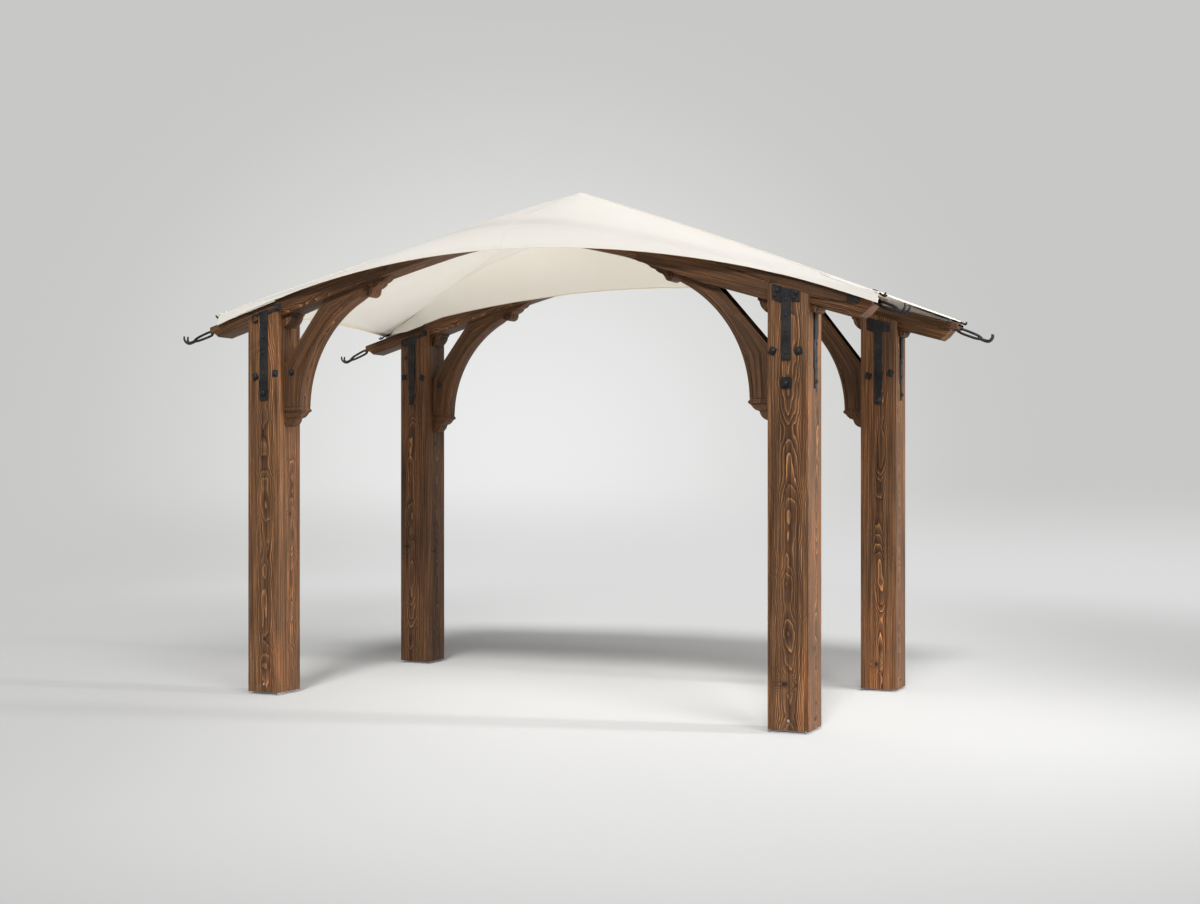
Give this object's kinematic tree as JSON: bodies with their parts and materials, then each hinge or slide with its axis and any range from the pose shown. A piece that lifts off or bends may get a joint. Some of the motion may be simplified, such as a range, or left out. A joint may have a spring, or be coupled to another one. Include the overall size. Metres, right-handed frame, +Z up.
{
  "type": "garden pergola with canvas canopy",
  "caption": "Open timber pergola: square posts, arched beams, carved knee braces, wrought iron straps and a tent canopy with a raised peak.",
  "frame": {"origin": "on the ground at the middle of the plan", "axes": "+Z up, +X along the arched beams, +Y from the front arch to the back arch"},
  "size_m": [4.2736, 1.884, 2.773],
  "materials": {
    "timber": "dark brown stain, open grain",
    "iron": "black wrought iron, satin",
    "galvanised": "galvanised, dull",
    "canvas": "cream cotton canvas"
  },
  "bodies": {
    "root": {"post_front_left": "timber", "post_back_left": "timber", "post_front_right": "timber", "post_back_right": "timber", "base_front_left": "galvanised", "base_back_left": "galvanised", "base_front_right": "galvanised", "base_back_right": "galvanised", "beam_front": "timber", "beam_back": "timber", "tail_front_left": "timber", "tail_back_left": "timber", "tail_front_right": "timber", "tail_back_right": "timber", "batten_front_right": "timber", "batten_back_right": "timber", "brace_front_left": "timber", "brace_back_left": "timber", "brace_front_right": "timber", "brace_back_right": "timber", "face_strap_front_left": "iron", "face_strap_back_left": "iron", "face_strap_front_right": "iron", "face_strap_back_right": "iron", "side_strap_front_left": "iron", "side_strap_back_left": "iron", "side_strap_front_right": "iron", "side_strap_back_right": "iron", "bolts_front_left": "iron", "bolts_back_left": "iron", "bolts_front_right": "iron", "bolts_back_right": "iron", "hook_front_left": "iron", "hook_back_left": "iron", "hook_front_right": "iron", "hook_back_right": "iron", "canopy_front": "canvas", "canopy_back": "canvas", "canopy_left": "canvas", "canopy_right": "canvas"}
  },
  "joints": []
}
